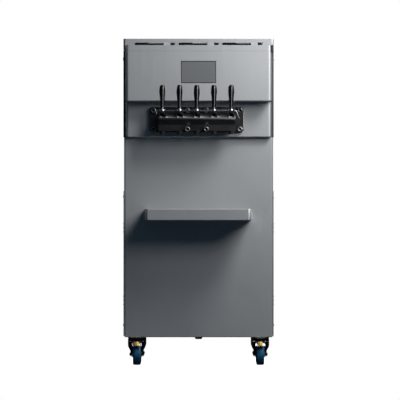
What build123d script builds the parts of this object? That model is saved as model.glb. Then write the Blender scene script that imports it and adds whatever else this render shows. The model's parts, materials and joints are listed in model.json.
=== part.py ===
from build123d import *
import os
from math import cos, radians, sin

# Floor-standing soft serve machine: three hoppers, three freezing cylinders, a five-lever
# dispensing head, a drip tray and four swivel casters.
# Frame: origin on the floor under the middle of the machine, +X to the user's right,
# +Y to the back, +Z up. Lengths in millimetres, angles in degrees.

os.makedirs("parts", exist_ok=True)

# ---------------------------------------------------------------- driving dimensions
machine_height = 1500
machine_depth = 880
sheet = 1.5                       # cabinet steel
fit = 0.05                        # radial running clearance of pins and shafts
seam = 0.3                        # gap between neighbouring panels

back = machine_depth / 2          # end of the cable gland
front = -machine_depth / 2        # front of the drip tray
base_height = 128                 # underside of the cabinet, top of the casters
door_top = 1047.5
fascia_top = 1211.5
header_top = 1444
band_top = 1471                   # where the gallery's front wall starts
door_y = -240
fascia_y = -269
header_y = -351
rear_y = 425

door_half = 339
upper_front_half = 334            # fascia, header and band
upper_side_half = 343
lower_side_half = 345.5
gallery_half = 345
side_split = 802                  # joint between lower and upper side panels
side_front = door_y + 2

head_x = -8                       # middle of the dispensing head
lever_pitch = 79
lever_x = [head_x + lever_pitch * n for n in (-2, -1, 0, 1, 2)]
cylinder_x = [head_x - 2 * lever_pitch, head_x, head_x + 2 * lever_pitch]
cylinder_z = 1130
hopper_x = [-201, 0, 201]
hopper_y = -20
hopper_outlet_y = 40

pivot_reach = 102                 # levers' pivot in front of the fascia
pivot_y = fascia_y - pivot_reach
pivot_z = 1169
piston_y = pivot_y + 24.3
pin_z = 1157.7
lever_lean = 4                    # grip leans this far to the front at rest
arm_droop = 25                    # rear arm points this far down at rest

caster_x = 284
caster_trail = 35
front_swivel_y = -165
rear_swivel_y = 355
wheel_radius = 50

deck_z = 1462                     # top of the deck plate
shelf_z = 1068                    # top of the cylinder shelf
drain_y = -190
drain_bore = 8


def save(name, part):
    """Label one finished piece and write its STEP file."""
    part.label = name
    export_step(part, f"parts/{name}.step")


def block(x_low, x_high, y_low, y_high, z_low, z_high, mode=Mode.ADD):
    """A box between two corners, added to the part that is being built."""
    centre = ((x_low + x_high) / 2, (y_low + y_high) / 2, (z_low + z_high) / 2)
    with Locations(centre):
        Box(x_high - x_low, y_high - y_low, z_high - z_low, mode=mode)


def rod_along_y(x, z, radius, y_low, y_high, mode=Mode.ADD):
    """A round bar along Y, added to the part that is being built."""
    with Locations((x, (y_low + y_high) / 2, z)):
        Cylinder(radius, y_high - y_low, rotation=(90, 0, 0), mode=mode)


def rod_along_z(x, y, radius, z_low, z_high, mode=Mode.ADD):
    """A round bar along Z, added to the part that is being built."""
    with Locations((x, y, (z_low + z_high) / 2)):
        Cylinder(radius, z_high - z_low, mode=mode)


def rod_along_x(y, z, radius, x_low, x_high, mode=Mode.ADD):
    """A round bar along X, added to the part that is being built."""
    with Locations(((x_low + x_high) / 2, y, z)):
        Cylinder(radius, x_high - x_low, rotation=(0, 90, 0), mode=mode)


# ---------------------------------------------------------------- cabinet
def front_cover(half_width, face_y, z_low, z_high, bend, bottom_bend):
    """A bent sheet cover, open at the back: a flat face with returned edges."""
    depth = side_front - 1 - face_y
    with BuildPart() as cover:
        with BuildSketch(Plane.XZ.offset(-face_y)):
            with Locations((0, (z_low + z_high) / 2)):
                Rectangle(2 * half_width, z_high - z_low)
        extrude(amount=-depth)
        face = cover.faces().sort_by(Axis.Y)[0]
        fillet(face.edges().filter_by(Axis.Z), bend)
        face = cover.faces().sort_by(Axis.Y)[0]
        fillet(face.edges().filter_by(Axis.X).sort_by(Axis.Z)[0], bottom_bend)
        offset(amount=-sheet, openings=cover.faces().sort_by(Axis.Y)[-1])
    return cover


tray_x = -2
tray_width = 487
tray_bend = 15
tray_bottom = 664.5
tray_top = 718.5
tray_lip = 716                    # the front wall is a little lower than the corners
tray_back = door_y - 0.5
stud_x = [tray_x - 170, tray_x + 170]
stud_z = 705
stud_lift = 14                    # lift that frees the tray from its studs

with BuildPart() as front_panel:
    with BuildSketch(Plane.XZ.offset(-door_y)):
        with Locations((0, (base_height + door_top) / 2)):
            Rectangle(2 * door_half, door_top - base_height)
    extrude(amount=-20)
    fillet(front_panel.faces().sort_by(Axis.Y)[0].edges(), 3)
    offset(amount=-sheet, openings=front_panel.faces().sort_by(Axis.Y)[-1])
    for x in stud_x:
        rod_along_y(x, stud_z, 5, tray_back - sheet - 0.5, door_y)
        rod_along_y(x, stud_z, 9, tray_back - sheet - 3.5, tray_back - sheet - 0.5)
save("front_panel", front_panel.part)

dispensing_fascia = front_cover(upper_front_half, fascia_y, door_top + seam, fascia_top - seam, 12, 5)
with dispensing_fascia:
    for x in cylinder_x:
        rod_along_y(x, cylinder_z, 46, fascia_y, fascia_y + sheet, mode=Mode.SUBTRACT)
save("dispensing_fascia", dispensing_fascia.part)

screen_width = 161
screen_height = 102
screen_z = 1347

header_panel = front_cover(upper_front_half, header_y, fascia_top + seam, header_top - seam, 12, 6)
with header_panel:
    block(-screen_width / 2 - seam, screen_width / 2 + seam, header_y, header_y + sheet,
          screen_z - screen_height / 2 - seam, screen_z + screen_height / 2 + seam, Mode.SUBTRACT)
save("header_panel", header_panel.part)

with BuildPart() as touch_screen:
    block(-screen_width / 2, screen_width / 2, header_y - 0.6, header_y + 5,
          screen_z - screen_height / 2, screen_z + screen_height / 2)
    fillet(touch_screen.faces().sort_by(Axis.Y)[0].edges(), 0.5)
    block(-72, 72, header_y + 5, header_y + 38, screen_z - 44, screen_z + 44)
save("touch_screen", touch_screen.part)

band_depth = side_front - 1 - header_y
with BuildPart() as header_band:
    with BuildSketch(Plane.XY.offset(header_top + seam)):
        with Locations((0, header_y + band_depth / 2)):
            Rectangle(2 * upper_front_half, band_depth)
    extrude(amount=band_top - header_top - 2 * seam)
    fillet(header_band.faces().sort_by(Axis.Y)[0].edges().filter_by(Axis.Z), 12)
    ends = header_band.faces().sort_by(Axis.Z)
    offset(amount=-sheet, openings=[ends[0], ends[-1], header_band.faces().sort_by(Axis.Y)[-1]])
    block(-gallery_half, gallery_half, header_y + 12, side_front,
          deck_z - sheet - 0.2, band_top, Mode.SUBTRACT)
    block(-upper_front_half + 12, upper_front_half - 12, header_y + sheet, header_y + 12,
          header_top + 8, header_top + 10)
save("header_band", header_band.part)

gallery_wall = 1.5
gallery_flange = 14
slot_pitch = 201
slot_top_width = 194.6
slot_bottom_width = 180
slot_top = 1482
gallery_back = rear_y + 5

with BuildPart() as top_gallery:
    gallery_depth = gallery_back - header_y
    gallery_y = (gallery_back + header_y) / 2
    with BuildSketch(Plane.XY.offset(header_top + 1)):
        with Locations((0, gallery_y)):
            RectangleRounded(2 * gallery_half, gallery_depth, 10)
    extrude(amount=machine_height - header_top - 1)
    fillet(top_gallery.faces().sort_by(Axis.Z)[-1].edges(), 1.2)
    with BuildSketch(Plane.XY.offset(header_top + 1)):
        with Locations((0, gallery_y)):
            RectangleRounded(2 * (gallery_half - gallery_wall), gallery_depth - 2 * gallery_wall, 8.5)
    extrude(amount=machine_height - header_top - 1 - gallery_wall, mode=Mode.SUBTRACT)
    with BuildSketch(Plane.XY.offset(machine_height)):
        with Locations((0, gallery_y)):
            Rectangle(2 * (gallery_half - gallery_flange), gallery_depth - 2 * gallery_flange)
    extrude(amount=-gallery_wall, mode=Mode.SUBTRACT)
    block(-upper_front_half - 0.5, upper_front_half + 0.5, header_y, header_y + 12,
          header_top, band_top, Mode.SUBTRACT)
    with BuildSketch(Plane.XZ.offset(-header_y)):
        for x in (-slot_pitch, 0, slot_pitch):
            with BuildLine():
                Polyline((x - slot_bottom_width / 2, band_top), (x + slot_bottom_width / 2, band_top),
                         (x + slot_top_width / 2, slot_top), (x - slot_top_width / 2, slot_top),
                         close=True)
            make_face()
    extrude(amount=-12, mode=Mode.SUBTRACT)
save("top_gallery", top_gallery.part)

louvre_proud = 3
louvre_height = 12
louvre_pitch = 19
louvre_length = 200
louvre_y = [0, 250]


def side_panel(side, outer, z_low, z_high, front_flanges, louvre_middles):
    """One side sheet with returned front and rear edges and groups of louvres.

    front_flanges lists (z_low, z_high, x) of the front returns, each ending at x.
    """
    inner = outer - sheet
    with BuildPart() as panel:
        low, high = sorted((side * inner, side * outer))
        block(low, high, side_front, rear_y, z_low, z_high)
        for flange_low, flange_high, end in front_flanges:
            low, high = sorted((side * end, side * inner))
            block(low, high, side_front, side_front + sheet, flange_low, flange_high)
        low, high = sorted((side * 336.2, side * inner))
        block(low, high, rear_y - sheet, rear_y, z_low, z_high)
        for z_middle in louvre_middles:
            for row, y_middle in [(row, y) for row in (-1, 0, 1) for y in louvre_y]:
                top = z_middle + row * louvre_pitch + louvre_height / 2
                bottom = top - louvre_height
                start = y_middle - louvre_length / 2
                with BuildSketch(Plane.XZ.offset(-start)):
                    with BuildLine():
                        Polyline((side * outer, top), (side * (outer + louvre_proud), bottom),
                                 (side * outer, bottom), close=True)
                    make_face()
                extrude(amount=-louvre_length)
                with BuildSketch(Plane.XZ.offset(-start - 1.2)):
                    with BuildLine():
                        Polyline((side * (outer - sheet), top - 4), (side * outer, top - 4),
                                 (side * (outer + louvre_proud - 1), bottom),
                                 (side * (outer - sheet), bottom), close=True)
                    make_face()
                extrude(amount=-(louvre_length - 2.4), mode=Mode.SUBTRACT)
    return panel


lower_flanges = [(132, side_split - 0.5, door_half + seam)]
upper_flanges = [(side_split, door_top, door_half + seam),
                 (door_top, header_top, upper_front_half + seam)]
for side, name in ((-1, "left"), (1, "right")):
    lower = side_panel(side, lower_side_half, 132, side_split - 0.5, lower_flanges, (300, 635))
    save(f"side_panel_{name}_lower", lower.part)
    upper = side_panel(side, upper_side_half, side_split, header_top, upper_flanges, (1086,))
    save(f"side_panel_{name}_upper", upper.part)

gland_x = 240
gland_z = 200

with BuildPart() as rear_panel:
    block(-335.9, 335.9, rear_y - sheet, rear_y, 132, header_top)
    with BuildSketch(Plane.XZ.offset(-rear_y)):
        with Locations((60, 350)):
            with GridLocations(150, 22, 3, 17):
                SlotOverall(130, 9)
        with Locations((0, 1000)):
            with GridLocations(190, 22, 3, 8):
                SlotOverall(160, 9)
    extrude(amount=sheet, mode=Mode.SUBTRACT)
    rod_along_y(gland_x, gland_z, 12, rear_y - sheet, rear_y, Mode.SUBTRACT)
save("rear_panel", rear_panel.part)

gland_bore = 7
with BuildPart() as cable_gland:
    rod_along_y(gland_x, gland_z, 11.9, rear_y - 8, rear_y)
    with BuildSketch(Plane.XZ.offset(-rear_y)):
        with Locations((gland_x, gland_z)):
            RegularPolygon(16, 6)
    extrude(amount=-6)
    rod_along_y(gland_x, gland_z, 13, rear_y + 6, back)
    chamfer(cable_gland.faces().sort_by(Axis.Y)[-1].edges(), 2.5)
    rod_along_y(gland_x, gland_z, gland_bore, rear_y - 8, back, Mode.SUBTRACT)
save("cable_gland", cable_gland.part)

knob_z = 1409
screw_z = [184, 775]
with BuildPart() as side_screws:
    for side in (-1, 1):
        for y in (-150, 340):
            low, high = sorted((side * upper_side_half, side * (upper_side_half + 5)))
            rod_along_x(y, knob_z, 7, low, high)
            for z in screw_z:
                low, high = sorted((side * lower_side_half, side * (lower_side_half + 2.5)))
                rod_along_x(y, z, 5, low, high)
save("side_screws", side_screws.part)

# ---------------------------------------------------------------- chassis
post = 30
post_wall = 2
frame_half = 336
frame_front = -218
frame_back = 411

weld = 0.2                        # gap left between the frame's bars
rail = 15
rail_height = 20
rail_z = [shelf_z - 2 - weld - rail_height, deck_z - sheet - weld - rail_height]

with BuildPart() as chassis_frame:
    block(-frame_half, frame_half, frame_front, frame_back, base_height, base_height + 3)
    for y in (front_swivel_y, rear_swivel_y):
        for side in (-1, 1):
            low, high = sorted((side * (caster_x - 45), side * (caster_x + 45)))
            block(low, high, y - 15, y + 15, base_height + 3, base_height + 12)
    rod_along_z(0, drain_y, drain_bore, base_height, base_height + 3, Mode.SUBTRACT)
    for side in (-1, 1):
        for y, inward in ((frame_front, 1), (frame_back, -1)):
            low, high = sorted((side * frame_half, side * (frame_half - post)))
            near, far = sorted((y, y + inward * post_wall))
            block(low, high, near, far, base_height + 3 + weld, deck_z - sheet - weld)
            low, high = sorted((side * frame_half, side * (frame_half - post_wall)))
            near, far = sorted((y, y + inward * post))
            block(low, high, near, far, base_height + 3 + weld, deck_z - sheet - weld)
        low, high = sorted((side * (frame_half - post_wall - weld), side * (frame_half - post_wall - rail)))
        for z in rail_z:
            block(low, high, frame_front + post + weld, frame_back - post - weld, z, z + rail_height)
    for z in rail_z:
        for y, inward in ((frame_front, 1), (frame_back, -1)):
            near, far = sorted((y + inward * (post_wall + weld), y + inward * (post_wall + rail)))
            rail_end = frame_half - post - weld
            block(-rail_end, rail_end, near, far, z, z + rail_height)
    shelf_half = frame_half - post_wall - weld
    block(-shelf_half, shelf_half, frame_front + post + weld, 260, shelf_z - 2, shelf_z)
save("chassis_frame", chassis_frame.part)

hopper_width = 176
hopper_length = 360
hopper_depth = 190
hopper_rim = 6

with BuildPart() as top_deck:
    block(-gallery_half + gallery_wall + 0.1, gallery_half - gallery_wall - 0.1,
          header_y + 12.2, gallery_back - gallery_wall - 0.1, deck_z - sheet, deck_z)
    fillet(top_deck.edges().filter_by(Axis.Z), 9)
    with BuildSketch(Plane.XY.offset(deck_z)):
        for x in hopper_x:
            with Locations((x, hopper_y)):
                RectangleRounded(hopper_width + 0.6, hopper_length + 0.6, 20.3)
    extrude(amount=-sheet, mode=Mode.SUBTRACT)
save("top_deck", top_deck.part)

# ---------------------------------------------------------------- mix hoppers and lids
hopper_bottom = deck_z - hopper_depth
outlet_bore = 12

with BuildPart() as hopper_tubs:
    for x, outlet_x in zip(hopper_x, cylinder_x):
        with BuildSketch(Plane.XY.offset(hopper_bottom)):
            with Locations((x, hopper_y)):
                RectangleRounded(hopper_width, hopper_length, 20)
        extrude(amount=hopper_depth)
        with BuildSketch(Plane.XY.offset(deck_z)):
            with Locations((x, hopper_y)):
                RectangleRounded(hopper_width + 2 * hopper_rim, hopper_length + 2 * hopper_rim, 26)
        extrude(amount=sheet)
        with BuildSketch(Plane.XY.offset(hopper_bottom + sheet)):
            with Locations((x, hopper_y)):
                RectangleRounded(hopper_width - 2 * sheet, hopper_length - 2 * sheet, 18.5)
        extrude(amount=hopper_depth, mode=Mode.SUBTRACT)
        rod_along_z(outlet_x, hopper_outlet_y, outlet_bore, hopper_bottom, hopper_bottom + sheet,
                    Mode.SUBTRACT)
save("hopper_tubs", hopper_tubs.part)

lid_bottom = deck_z + sheet + seam
lid_top = 1481
lid_wall = 2.5
lid_width = 192
lid_length = 384


def hopper_lid(x):
    """A moulded lid with a wide raised grip, a narrow rib and a steel finger tab between them."""
    with BuildPart() as lid:
        with BuildSketch(Plane.XY.offset(lid_bottom)):
            with Locations((x, hopper_y)):
                RectangleRounded(lid_width, lid_length, 28)
        extrude(amount=lid_top - lid_bottom)
        fillet(lid.faces().sort_by(Axis.Z)[-1].edges(), 2)
        offset(amount=-lid_wall, openings=lid.faces().sort_by(Axis.Z)[0])
        with BuildSketch(Plane.XY.offset(lid_top)):
            with Locations((x - 59, hopper_y - 100)):
                RectangleRounded(62, 150, 12)
            with Locations((x + 82, hopper_y - 100)):
                RectangleRounded(14, 150, 6)
        extrude(amount=10, taper=12)
        lid_front = hopper_y - lid_length / 2
        block(x + 40, x + 74, lid_front - 1.5, lid_front, lid_top - 12, lid_top + 8)
        block(x + 40, x + 74, lid_front, lid_front + 30, lid_top, lid_top + 1.5)
    return lid


for x, name in zip(hopper_x, ("left", "centre", "right")):
    save(f"hopper_lid_{name}", hopper_lid(x).part)

# ---------------------------------------------------------------- freezing cylinders
barrel_bore = 44
barrel_radius = 46
jacket_radius = 62
barrel_front = fascia_y + sheet
jacket_front = barrel_front + 12
jacket_back = 65
barrel_back = 75
shaft_radius = 8

with BuildPart() as freezing_cylinders:
    for x in cylinder_x:
        rod_along_y(x, cylinder_z, jacket_radius, jacket_front, jacket_back)
        rod_along_y(x, cylinder_z, jacket_radius - 2, jacket_front + 5, jacket_back - 5, Mode.SUBTRACT)
        rod_along_y(x, cylinder_z, barrel_radius, barrel_front, barrel_back)
        rod_along_y(x, cylinder_z, 56, barrel_front, barrel_front + 8)
        rod_along_z(x, hopper_outlet_y, 15, cylinder_z + 30, hopper_bottom)
        rod_along_y(x, cylinder_z, barrel_bore, barrel_front, jacket_back, Mode.SUBTRACT)
        rod_along_z(x, hopper_outlet_y, outlet_bore, cylinder_z, hopper_bottom, Mode.SUBTRACT)
        rod_along_y(x, cylinder_z, shaft_radius + fit, jacket_back, barrel_back, Mode.SUBTRACT)
save("freezing_cylinders", freezing_cylinders.part)

beater_front = barrel_front + 5
beater_back = jacket_back - 6
bar_middle = 39.5
drive_y = 85                      # front face of the gearboxes


def beater(x):
    """A scraper beater: a shaft with two bars carried on three cross arms."""
    with BuildPart() as part:
        rod_along_y(x, cylinder_z, shaft_radius, beater_front, drive_y + 10)
        for side in (-1, 1):
            middle = x + side * bar_middle
            block(middle - 2.5, middle + 2.5, beater_front, beater_back,
                  cylinder_z - 4, cylinder_z + 4)
        for y in (beater_front + 20, (beater_front + beater_back) / 2, beater_back - 30):
            rod_along_x(y, cylinder_z, 4, x - bar_middle, x + bar_middle)
    return part


for x, name in zip(cylinder_x, ("left", "centre", "right")):
    save(f"beater_{name}", beater(x).part)

with BuildPart() as gearmotors:
    for x in cylinder_x:
        block(x - 52, x + 52, drive_y, drive_y + 110, shelf_z, shelf_z + 114)
        rod_along_y(x, cylinder_z, 56, drive_y + 110, drive_y + 250)
        block(x - 28, x + 28, drive_y + 150, drive_y + 210, cylinder_z + 50, cylinder_z + 78)
        rod_along_y(x, cylinder_z, shaft_radius + fit, drive_y, drive_y + 12, Mode.SUBTRACT)
save("gearmotors", gearmotors.part)

# ---------------------------------------------------------------- refrigeration
compressor_x = -215
compressor_y = 70
with BuildPart() as compressor:
    rod_along_z(compressor_x, compressor_y, 95, base_height + 12, base_height + 290)
    fillet(compressor.faces().sort_by(Axis.Z)[-1].edges(), 40)
    block(compressor_x - 85, compressor_x + 85, compressor_y - 85, compressor_y + 85,
          base_height + 9, base_height + 12)
    with Locations((compressor_x, compressor_y, base_height + 6)):
        with GridLocations(150, 150, 2, 2):
            Cylinder(12, 6)
    rod_along_z(compressor_x + 50, compressor_y, 8, base_height + 270, base_height + 330)
save("compressor", compressor.part)

condenser_x = 60
fan_z = 350
fan_front = 292
shroud_radius = 182

with BuildPart() as condenser:
    block(condenser_x - 240, condenser_x + 240, 342, 390, 150, 550)
    block(condenser_x - 244, condenser_x + 244, 338, 342, 146, 554)
    rod_along_y(condenser_x, fan_z, shroud_radius, 285, 338)
    rod_along_y(condenser_x, fan_z, shroud_radius - 3, 285, 342, Mode.SUBTRACT)
    rod_along_y(condenser_x, fan_z, 36, 320, 342)
    rod_along_y(condenser_x, fan_z, 4, fan_front, 320)
    for side in (-1, 1):
        middle = condenser_x + side * 150
        block(middle - 20, middle + 20, 342, 390, base_height + 3, 150)
save("condenser", condenser.part)

fan_radius = 172
with BuildPart() as condenser_fan:
    rod_along_y(condenser_x, fan_z, 34, fan_front + 2, fan_front + 24)
    for n in range(5):
        turn = radians(72 * n)
        pitch = radians(60)
        along = (cos(turn), 0, sin(turn))
        across = (-sin(turn) * cos(pitch), sin(pitch), cos(turn) * cos(pitch))
        hub = Plane(origin=(condenser_x, fan_front + 13, fan_z), x_dir=across, z_dir=along)
        with BuildSketch(hub.offset(30)):
            Rectangle(22, 2.5)
        extrude(amount=fan_radius - 30)
    rod_along_y(condenser_x, fan_z, 4 + fit, fan_front, fan_front + 26, Mode.SUBTRACT)
save("condenser_fan", condenser_fan.part)

# ---------------------------------------------------------------- dispensing head
flange_width = 434
flange_height = 116
flange_thick = 14
flange_z = 1128.5
block_half = 177
block_top = 1157
block_bottom = 1077
band_z = 1105.4                   # top of the vertical lower band
nose_radius = 28
nose_z = block_top - nose_radius
nose_reach = pivot_reach + 6      # foremost line of the head, in front of the fascia
band_reach = pivot_reach - 10     # face of the lower band
arc_reach = nose_reach - nose_radius
bore_radius = 11
ear_inner = 10.5
ear_outer = 15.5


def out(distance):
    """Y of a point this far in front of the fascia."""
    return fascia_y - distance


def port(start, end, radius):
    """A drilled passage between two points, cut from the part that is being built."""
    path = Vector(*end) - Vector(*start)
    with Locations(Plane(origin=Vector(*start) + path * 0.5, z_dir=path)):
        Cylinder(radius, path.length, mode=Mode.SUBTRACT)


with BuildPart() as head_block:
    with BuildSketch(Plane.XZ.offset(-fascia_y)):
        with Locations((head_x, flange_z)):
            RectangleRounded(flange_width, flange_height, 16)
    extrude(amount=flange_thick)
    fillet(head_block.faces().sort_by(Axis.Y)[0].edges(), 3)
    with BuildSketch(Plane.YZ.offset(head_x - block_half)):
        with BuildLine():
            Polyline((out(nose_reach), nose_z), (out(band_reach), band_z), (out(band_reach), block_bottom),
                     (out(8), block_bottom), (out(8), block_top), (out(arc_reach), block_top))
            diagonal = nose_radius * sin(radians(45))
            ThreePointArc((out(arc_reach), block_top), (out(arc_reach + diagonal), nose_z + diagonal),
                          (out(nose_reach), nose_z))
        make_face()
    extrude(amount=2 * block_half)
    for x in lever_x:
        for low in (x - ear_outer, x + ear_inner):
            with BuildSketch(Plane.YZ.offset(low)):
                with Locations((pivot_y, pivot_z)):
                    Circle(9)
                with BuildLine():
                    Polyline((pivot_y + 9, pivot_z), (pivot_y + 9, nose_z + 10), (pivot_y, nose_z + 5),
                             (pivot_y - 4.5, nose_z + 8), (pivot_y - 9, pivot_z), close=True)
                make_face()
            extrude(amount=ear_outer - ear_inner)
    rod_along_x(pivot_y, pivot_z, 4, head_x - 200, head_x + 200, Mode.SUBTRACT)
    for x in lever_x:
        rod_along_z(x, pivot_y + 8, ear_inner - 0.4, 1137, block_top + 5, Mode.SUBTRACT)
        rod_along_z(x, piston_y, bore_radius + fit, block_bottom, block_top, Mode.SUBTRACT)
    for x in cylinder_x:
        rod_along_y(x, cylinder_z, barrel_bore, out(10), fascia_y, Mode.SUBTRACT)
        port((x, out(9), cylinder_z - 25), (x, piston_y, 1092), 6)
    for n, side in ((0, 1), (1, -1), (1, 1), (2, -1)):
        x = cylinder_x[n]
        port((x + side * 28, out(9), cylinder_z - 22), (x + side * lever_pitch, piston_y, 1092), 6)
save("head_block", head_block.part)

nozzle_bottom = 1063
with BuildPart() as nozzles:
    for x in lever_x:
        rod_along_z(x, piston_y, 12, nozzle_bottom, block_bottom)
        rod_along_z(x, piston_y, 14, block_bottom - 5, block_bottom)
        star = [PolarLocations(7.5 if n % 2 else 5, 1, n * 30) for n in range(12)]
        points = [list(place)[0].position for place in star]
        with BuildSketch(Plane.XY.offset(nozzle_bottom)):
            with Locations((x, piston_y)):
                Polygon(*[(p.X, p.Y) for p in points], align=None)
        extrude(amount=block_bottom - nozzle_bottom, mode=Mode.SUBTRACT)
save("nozzles", nozzles.part)

nut_radius = 12
nut_length = 16
nut_seats = [(x, z, flange_thick if abs(x - head_x) > block_half or z > block_top else band_reach)
             for x in (head_x - 199, head_x - 43, head_x + 43, head_x + 199)
             for z in (1084.7, 1171.6)]
with BuildPart() as head_nuts:
    for x, z, seat in nut_seats:
        rod_along_y(x, z, nut_radius, out(seat + nut_length), out(seat))
    chamfer(head_nuts.edges().filter_by(GeomType.CIRCLE), 1.2)
    for x, z, seat in nut_seats:
        rod_along_y(x, z, 5, out(seat + nut_length), out(seat + nut_length - 6), Mode.SUBTRACT)
save("head_nuts", head_nuts.part)

rod_left = head_x - 187
rod_bend = head_x + 181
with BuildPart() as pivot_rod:
    with BuildLine():
        FilletPolyline((rod_left, pivot_y, pivot_z), (rod_bend, pivot_y, pivot_z),
                       (rod_bend + 13, pivot_y, pivot_z - 37), radius=9)
    with BuildSketch(Plane(origin=(rod_left, pivot_y, pivot_z), z_dir=(1, 0, 0))):
        Circle(4)
    sweep()
    with Locations(Location((rod_left + 3, pivot_y, pivot_z - 13), (0, 90, 0))):
        Torus(10, 1.25)
save("pivot_rod", pivot_rod.part)

# ---------------------------------------------------------------- levers and valve pistons
hub_radius = 11.6
hub_half = 10
arm_half = 4
arm_slot = 3.4                    # half width of the slot around the piston's pin
arm_width = 6.5
arm_end = 28.5                    # centre of the arm's round end
grip_start = 13.5
grip_end = 119
neck_radius = 6
neck_end = 30
grip_axis = (0, -sin(radians(lever_lean)), cos(radians(lever_lean)))
grip_normal = (0, -cos(radians(lever_lean)), -sin(radians(lever_lean)))


def arm_point(distance):
    """A point of the rear arm's middle line, in the YZ plane, this far from the pivot."""
    return (pivot_y + distance * cos(radians(arm_droop)), pivot_z - distance * sin(radians(arm_droop)))


def lever_arm(x):
    """The metal part of a lever: ball hub on the pivot rod, slotted rear arm and neck."""
    with BuildPart() as arm:
        with Locations((x, pivot_y, pivot_z)):
            Sphere(hub_radius)
            Box(2 * hub_half, 3 * hub_radius, 3 * hub_radius, mode=Mode.INTERSECT)
        for start, half, mode in ((0, arm_width, Mode.ADD), (21, arm_slot, Mode.SUBTRACT)):
            with BuildSketch(Plane.YZ.offset(x - arm_half)):
                with Locations(arm_point((start + arm_end) / 2)):
                    SlotCenterToCenter(arm_end - start, 2 * half, rotation=-arm_droop)
            extrude(amount=2 * arm_half, mode=mode)
        with BuildSketch(Plane(origin=(x, pivot_y, pivot_z), x_dir=(1, 0, 0), z_dir=grip_axis)):
            Circle(neck_radius)
        extrude(amount=neck_end)
        rod_along_x(pivot_y, pivot_z, 4 + fit, x - hub_half, x + hub_half, Mode.SUBTRACT)
    return arm


def lever_grip(x):
    """A turned grip: slim at the neck, fullest a third of its length below the top."""
    pivot = (x, pivot_y, pivot_z)
    with BuildPart() as grip:
        with BuildSketch(Plane(origin=pivot, x_dir=(1, 0, 0), z_dir=grip_normal)):
            with BuildLine():
                Spline((8.7, grip_start), (9.4, 36), (11.6, 58), (14.25, 84), (13.0, 104),
                       (11.0, grip_end - 4))
                ThreePointArc((11.0, grip_end - 4), (9.4, grip_end - 1.2), (6, grip_end))
                Polyline((6, grip_end), (0, grip_end), (0, neck_end), (neck_radius, neck_end),
                         (neck_radius, grip_start), (8.7, grip_start))
            make_face()
        revolve(axis=Axis(pivot, grip_axis))
    return grip


def piston(x):
    """A valve piston with a clevis at its top and the cross pin that the arm lifts."""
    top = 1166.7
    with BuildPart() as valve:
        rod_along_z(x, piston_y, bore_radius, 1079, top)
        block(x - 4.5, x + 4.5, piston_y - 12, piston_y + 12, 1143, top, Mode.SUBTRACT)
        rod_along_x(piston_y, pin_z, 3, x - 12, x + 12, Mode.SUBTRACT)
        rod_along_x(piston_y, pin_z, 2.99, x - 10, x + 10)
    return valve


for number, x in enumerate(lever_x, 1):
    save(f"lever_arm_{number}", lever_arm(x).part)
    save(f"lever_grip_{number}", lever_grip(x).part)
    save(f"piston_{number}", piston(x).part)

# ---------------------------------------------------------------- drip tray
with BuildPart() as drip_tray:
    block(tray_x - tray_width / 2, tray_x + tray_width / 2, front, tray_back, tray_bottom, tray_top)
    fillet(drip_tray.faces().sort_by(Axis.Y)[0].edges().filter_by(Axis.Z), tray_bend)
    fillet(drip_tray.faces().sort_by(Axis.Z)[0].edges(), 5)
    offset(amount=-sheet, openings=drip_tray.faces().sort_by(Axis.Z)[-1])
    block(tray_x - tray_width / 2 + tray_bend, tray_x + tray_width / 2 - tray_bend, front, front + sheet,
          tray_lip, tray_top, Mode.SUBTRACT)
    for x in stud_x:
        rod_along_y(x, stud_z - stud_lift, 9.6, tray_back - sheet, tray_back, Mode.SUBTRACT)
        rod_along_y(x, stud_z, 5.3, tray_back - sheet, tray_back, Mode.SUBTRACT)
        block(x - 5.3, x + 5.3, tray_back - sheet, tray_back, stud_z - stud_lift, stud_z, Mode.SUBTRACT)
save("drip_tray", drip_tray.part)

grid_half = tray_width / 2 - 3.5
grid_z = 702
grid_foot = tray_bottom + 8         # the feet stand on the tray's bottom bend
with BuildPart() as drip_tray_grid:
    grid_front = front + 3
    grid_back = tray_back - 7
    grid_y = (grid_front + grid_back) / 2
    with BuildSketch(Plane.XY.offset(grid_z)):
        with Locations((tray_x, grid_y)):
            RectangleRounded(2 * grid_half, grid_back - grid_front, tray_bend - 2)
    extrude(amount=1.5)
    for side in (-1, 1):
        low, high = sorted((tray_x + side * grid_half, tray_x + side * (grid_half - 1.5)))
        block(low, high, grid_front + tray_bend, grid_back - tray_bend, grid_foot, grid_z)
    with BuildSketch(Plane.XY.offset(grid_z)):
        with Locations((tray_x, grid_y)):
            with GridLocations(22, 60, 20, 3):
                SlotOverall(50, 10, rotation=90)
    extrude(amount=1.5, mode=Mode.SUBTRACT)
save("drip_tray_grid", drip_tray_grid.part)

# ---------------------------------------------------------------- casters and drain
with BuildPart() as drain_spigot:
    with BuildSketch(Plane.XY.offset(base_height)):
        with Locations((0, drain_y)):
            Circle(18.5)
    extrude(amount=-9, taper=26)
    rod_along_z(0, drain_y, drain_bore, base_height - 9, base_height, Mode.SUBTRACT)
save("drain_spigot", drain_spigot.part)

swivels = [("front_left", -caster_x, front_swivel_y), ("front_right", caster_x, front_swivel_y),
           ("rear_left", -caster_x, rear_swivel_y), ("rear_right", caster_x, rear_swivel_y)]
fork_half = 41
fork_wall = 3.5
housing_radius = 40
fork_top = 120
kingpin = 6

with BuildPart() as caster_plates:
    for _, x, y in swivels:
        block(x - fork_half, x + fork_half, y - 50, y + 50, base_height - 4, base_height)
        rod_along_z(x, y, housing_radius, fork_top + seam, base_height - 4)
        rod_along_z(x, y, kingpin + fit, fork_top, base_height, Mode.SUBTRACT)
save("caster_plates", caster_plates.part)


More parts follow.
